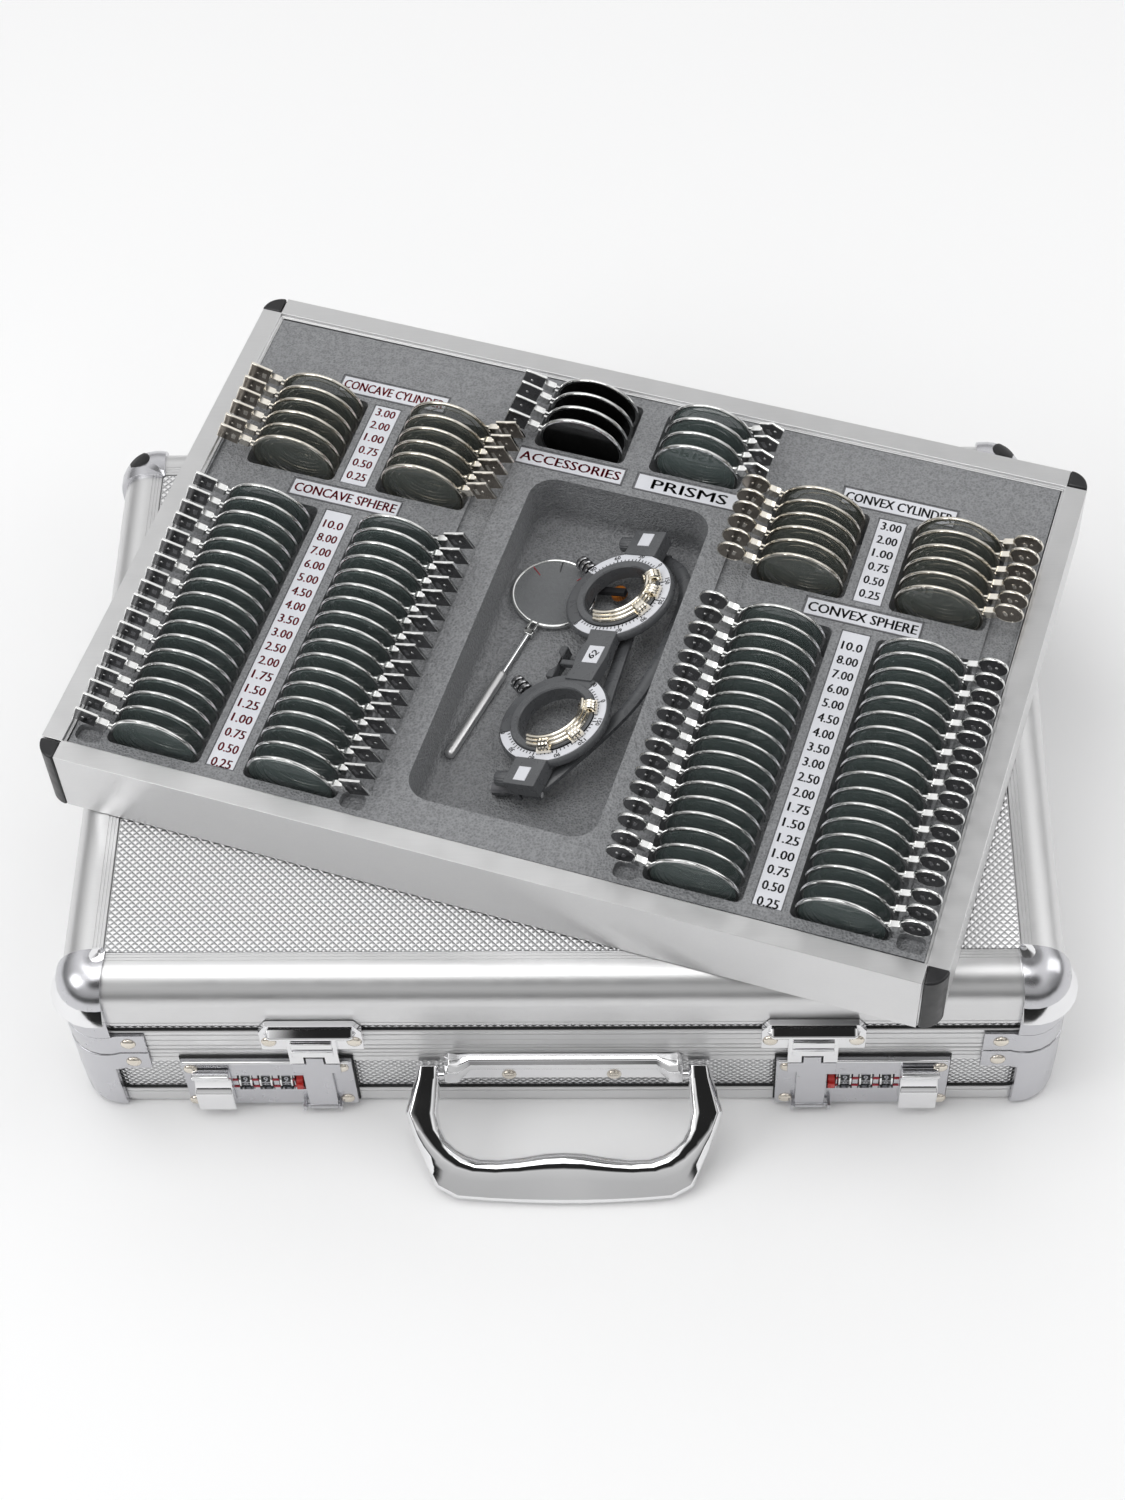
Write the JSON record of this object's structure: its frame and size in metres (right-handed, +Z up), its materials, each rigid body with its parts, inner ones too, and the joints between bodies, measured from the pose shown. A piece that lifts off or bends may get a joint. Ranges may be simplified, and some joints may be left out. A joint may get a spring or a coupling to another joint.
{
  "type": "trial lens set",
  "caption": "Aluminium attache case of trial lenses, with the framed lens tray lying turned on the closed lid and a trial frame and cross cylinder in its trough.",
  "frame": {"origin": "middle of the case bottom face, on the surface the case stands on", "axes": "+X to the right along the case front, +Y towards the hinges at the back, +Z up"},
  "size_m": [0.437, 0.3952, 0.1448],
  "materials": {
    "satin_aluminium": "satin anodised",
    "cast_satin": "satin plated",
    "corner_chrome": "bright plated",
    "embossed_sheet": "embossed diamond pattern",
    "chrome_zinc": "bright plated",
    "lining_foam": "dark grey foam",
    "grained_grey_plastic": "leather-grained, vacuum formed",
    "black_plastic": "satin black",
    "red_plastic": "red",
    "wheel_plastic": "pale with dark figures",
    "lens_steel_rim": "thin bright rims around green-grey glass",
    "lens_brass_rim": "thin warm bright rims around clear glass",
    "lens_black": "black discs in bright rims",
    "cross_lens_glass": "clear glass in a bright rim",
    "frame_plastic": "dark grey, smooth",
    "cell_brass": "pale brass, polished"
  },
  "bodies": {
    "case_base": {"base_shell": "embossed_sheet", "base_bottom_frame": "satin_aluminium", "base_rim_frame": "satin_aluminium", "base_corner_front_left": "cast_satin", "base_corner_front_right": "cast_satin", "base_corner_back_left": "cast_satin", "base_corner_back_right": "cast_satin", "handle_bracket": "chrome_zinc", "hinge_base_left": "satin_aluminium", "hinge_base_right": "satin_aluminium", "lock_plate_left": "satin_aluminium", "lock_plate_right": "satin_aluminium"},
    "handle": {"handle": "chrome_zinc"},
    "lid": {"lid_shell": "embossed_sheet", "lid_top_frame": "satin_aluminium", "lid_rim_frame": "satin_aluminium", "lid_lining_pad": "lining_foam", "lid_corner_front_left": "corner_chrome", "lid_corner_front_right": "corner_chrome", "lid_corner_back_left": "cast_satin", "lid_corner_back_right": "cast_satin", "hinge_lid_left": "satin_aluminium", "hinge_lid_right": "satin_aluminium", "lock_catch_left": "chrome_zinc", "lock_catch_right": "chrome_zinc"},
    "tray": {"tray_frame": "satin_aluminium", "tray_corner_front_left": "black_plastic", "tray_corner_front_right": "black_plastic", "tray_corner_back_left": "black_plastic", "tray_corner_back_right": "black_plastic", "tray_insert": "grained_grey_plastic"},
    "trial_frame": {"trial_frame_front": "frame_plastic"},
    "hasp_left": {"lock_hasp_left": "satin_aluminium"},
    "release_button_left": {"lock_button_left": "chrome_zinc"},
    "reset_lever_left": {"lock_reset_lever_left": "red_plastic"},
    "number_wheel_left_1": {"number_wheel_left_1": "wheel_plastic"},
    "number_wheel_left_2": {"number_wheel_left_2": "wheel_plastic"},
    "number_wheel_left_3": {"number_wheel_left_3": "wheel_plastic"},
    "hasp_right": {"lock_hasp_right": "satin_aluminium"},
    "release_button_right": {"lock_button_right": "chrome_zinc"},
    "reset_lever_right": {"lock_reset_lever_right": "red_plastic"},
    "number_wheel_right_1": {"number_wheel_right_1": "wheel_plastic"},
    "number_wheel_right_2": {"number_wheel_right_2": "wheel_plastic"},
    "number_wheel_right_3": {"number_wheel_right_3": "wheel_plastic"},
    "lenses_concave_cylinder_outer": {"lenses_concave_cylinder_outer": "lens_brass_rim"},
    "lenses_concave_sphere_outer": {"lenses_concave_sphere_outer": "lens_steel_rim"},
    "lenses_concave_cylinder_inner": {"lenses_concave_cylinder_inner": "lens_brass_rim"},
    "lenses_concave_sphere_inner": {"lenses_concave_sphere_inner": "lens_steel_rim"},
    "lenses_convex_cylinder_outer": {"lenses_convex_cylinder_outer": "lens_brass_rim"},
    "lenses_convex_sphere_outer": {"lenses_convex_sphere_outer": "lens_steel_rim"},
    "lenses_convex_cylinder_inner": {"lenses_convex_cylinder_inner": "lens_brass_rim"},
    "lenses_convex_sphere_inner": {"lenses_convex_sphere_inner": "lens_steel_rim"},
    "lenses_accessories": {"lenses_accessories": "lens_black"},
    "lenses_prisms": {"lenses_prisms": "lens_steel_rim"},
    "cell_back": {"trial_frame_cell_back": "cell_brass"},
    "temple_back": {"trial_frame_temple_back": "frame_plastic"},
    "cell_front": {"trial_frame_cell_front": "cell_brass"},
    "temple_front": {"trial_frame_temple_front": "frame_plastic"},
    "nose_rest": {"trial_frame_nose_rest": "frame_plastic"},
    "cross_cylinder": {"cross_cylinder_lens": "cross_lens_glass"}
  },
  "joints": [
    {"name": "lid_open", "type": "hinge", "parent": "case_base", "child": "lid", "pos_m": [0, 0.1466, 0.0465], "axis": [-1, 0, 0], "range_deg": [0, 100]},
    {"name": "handle_swing", "type": "hinge", "parent": "case_base", "child": "handle", "pos_m": [0, -0.1487, 0.0335], "axis": [-1, 0, 0], "range_deg": [0, 120]},
    {"name": "hasp_swing_left", "type": "hinge", "parent": "case_base", "child": "hasp_left", "pos_m": [-0.102, -0.1481, 0.0058], "axis": [1, 0, 0], "range_deg": [0, 90]},
    {"name": "release_button_slide_left", "type": "slide", "parent": "case_base", "child": "release_button_left", "axis": [-1, 0, 0], "range_m": [0, 0.003], "stiffness_N_per_m": 400, "springref_m": -0.0005},
    {"name": "reset_lever_turn_left", "type": "hinge", "parent": "case_base", "child": "reset_lever_left", "pos_m": [-0.1107, -0.1413, 0.0225], "axis": [-1, 0, 0], "range_deg": [0, 20]},
    {"name": "number_wheel_turn_left_1", "type": "hinge", "parent": "case_base", "child": "number_wheel_left_1", "pos_m": [-0.1163, -0.1413, 0.0225], "axis": [1, 0, 0], "continuous": true},
    {"name": "number_wheel_turn_left_2", "type": "hinge", "parent": "case_base", "child": "number_wheel_left_2", "pos_m": [-0.1249, -0.1413, 0.0225], "axis": [1, 0, 0], "continuous": true},
    {"name": "number_wheel_turn_left_3", "type": "hinge", "parent": "case_base", "child": "number_wheel_left_3", "pos_m": [-0.1334, -0.1413, 0.0225], "axis": [1, 0, 0], "continuous": true},
    {"name": "hasp_swing_right", "type": "hinge", "parent": "case_base", "child": "hasp_right", "pos_m": [0.102, -0.1481, 0.0058], "axis": [1, 0, 0], "range_deg": [0, 90]},
    {"name": "release_button_slide_right", "type": "slide", "parent": "case_base", "child": "release_button_right", "axis": [1, 0, 0], "range_m": [0, 0.003], "stiffness_N_per_m": 400, "springref_m": -0.0005},
    {"name": "reset_lever_turn_right", "type": "hinge", "parent": "case_base", "child": "reset_lever_right", "pos_m": [0.1107, -0.1413, 0.0225], "axis": [-1, 0, 0], "range_deg": [0, 20]},
    {"name": "number_wheel_turn_right_1", "type": "hinge", "parent": "case_base", "child": "number_wheel_right_1", "pos_m": [0.1163, -0.1413, 0.0225], "axis": [1, 0, 0], "continuous": true},
    {"name": "number_wheel_turn_right_2", "type": "hinge", "parent": "case_base", "child": "number_wheel_right_2", "pos_m": [0.1249, -0.1413, 0.0225], "axis": [1, 0, 0], "continuous": true},
    {"name": "number_wheel_turn_right_3", "type": "hinge", "parent": "case_base", "child": "number_wheel_right_3", "pos_m": [0.1334, -0.1413, 0.0225], "axis": [1, 0, 0], "continuous": true},
    {"name": "tray_lift", "type": "slide", "parent": "lid", "child": "tray", "axis": [0, 0, 1], "range_m": [0, 0.2]},
    {"name": "lenses_concave_cylinder_outer_lift", "type": "slide", "parent": "tray", "child": "lenses_concave_cylinder_outer", "axis": [0, 0, 1], "range_m": [0, 0.06]},
    {"name": "lenses_concave_sphere_outer_lift", "type": "slide", "parent": "tray", "child": "lenses_concave_sphere_outer", "axis": [0, 0, 1], "range_m": [0, 0.06]},
    {"name": "lenses_concave_cylinder_inner_lift", "type": "slide", "parent": "tray", "child": "lenses_concave_cylinder_inner", "axis": [0, 0, 1], "range_m": [0, 0.06]},
    {"name": "lenses_concave_sphere_inner_lift", "type": "slide", "parent": "tray", "child": "lenses_concave_sphere_inner", "axis": [0, 0, 1], "range_m": [0, 0.06]},
    {"name": "lenses_convex_cylinder_outer_lift", "type": "slide", "parent": "tray", "child": "lenses_convex_cylinder_outer", "axis": [0, 0, 1], "range_m": [0, 0.06]},
    {"name": "lenses_convex_sphere_outer_lift", "type": "slide", "parent": "tray", "child": "lenses_convex_sphere_outer", "axis": [0, 0, 1], "range_m": [0, 0.06]},
    {"name": "lenses_convex_cylinder_inner_lift", "type": "slide", "parent": "tray", "child": "lenses_convex_cylinder_inner", "axis": [0, 0, 1], "range_m": [0, 0.06]},
    {"name": "lenses_convex_sphere_inner_lift", "type": "slide", "parent": "tray", "child": "lenses_convex_sphere_inner", "axis": [0, 0, 1], "range_m": [0, 0.06]},
    {"name": "lenses_accessories_lift", "type": "slide", "parent": "tray", "child": "lenses_accessories", "axis": [0, 0, 1], "range_m": [0, 0.06]},
    {"name": "lenses_prisms_lift", "type": "slide", "parent": "tray", "child": "lenses_prisms", "axis": [0, 0, 1], "range_m": [0, 0.06]},
    {"name": "trial_frame_lift", "type": "slide", "parent": "tray", "child": "trial_frame", "axis": [0, 0, 1], "range_m": [0, 0.25]},
    {"name": "cell_turn_back", "type": "hinge", "parent": "trial_frame", "child": "cell_back", "pos_m": [0.02409, 0.03579, 0.1153], "axis": [-0.3155, 0.132, 0.9397], "continuous": true},
    {"name": "temple_fold_back", "type": "hinge", "parent": "trial_frame", "child": "temple_back", "pos_m": [0.04029, 0.06478, 0.10496], "axis": [0.8669, -0.3626, 0.342], "range_deg": [0, 95]},
    {"name": "cell_turn_front", "type": "hinge", "parent": "trial_frame", "child": "cell_front", "pos_m": [-0.00254, -0.02786, 0.1153], "axis": [-0.3155, 0.132, 0.9397], "continuous": true},
    {"name": "temple_fold_front", "type": "hinge", "parent": "trial_frame", "child": "temple_front", "pos_m": [-0.01307, -0.05923, 0.10872], "axis": [-0.8669, 0.3626, -0.342], "range_deg": [0, 95]},
    {"name": "nose_rest_slide", "type": "slide", "parent": "trial_frame", "child": "nose_rest", "axis": [-0.8669, 0.3626, -0.342], "range_m": [-0.003, 0.005]},
    {"name": "cross_cylinder_lift", "type": "slide", "parent": "tray", "child": "cross_cylinder", "axis": [0, 0, 1], "range_m": [0, 0.125]}
  ],
  "couplings": [
    {"joint": "temple_fold_back", "follows": "trial_frame_lift", "rad_per_m": 6.6},
    {"joint": "temple_fold_front", "follows": "trial_frame_lift", "rad_per_m": 6.6},
    {"joint": "cross_cylinder_lift", "follows": "trial_frame_lift", "ratio": 0.5}
  ]
}
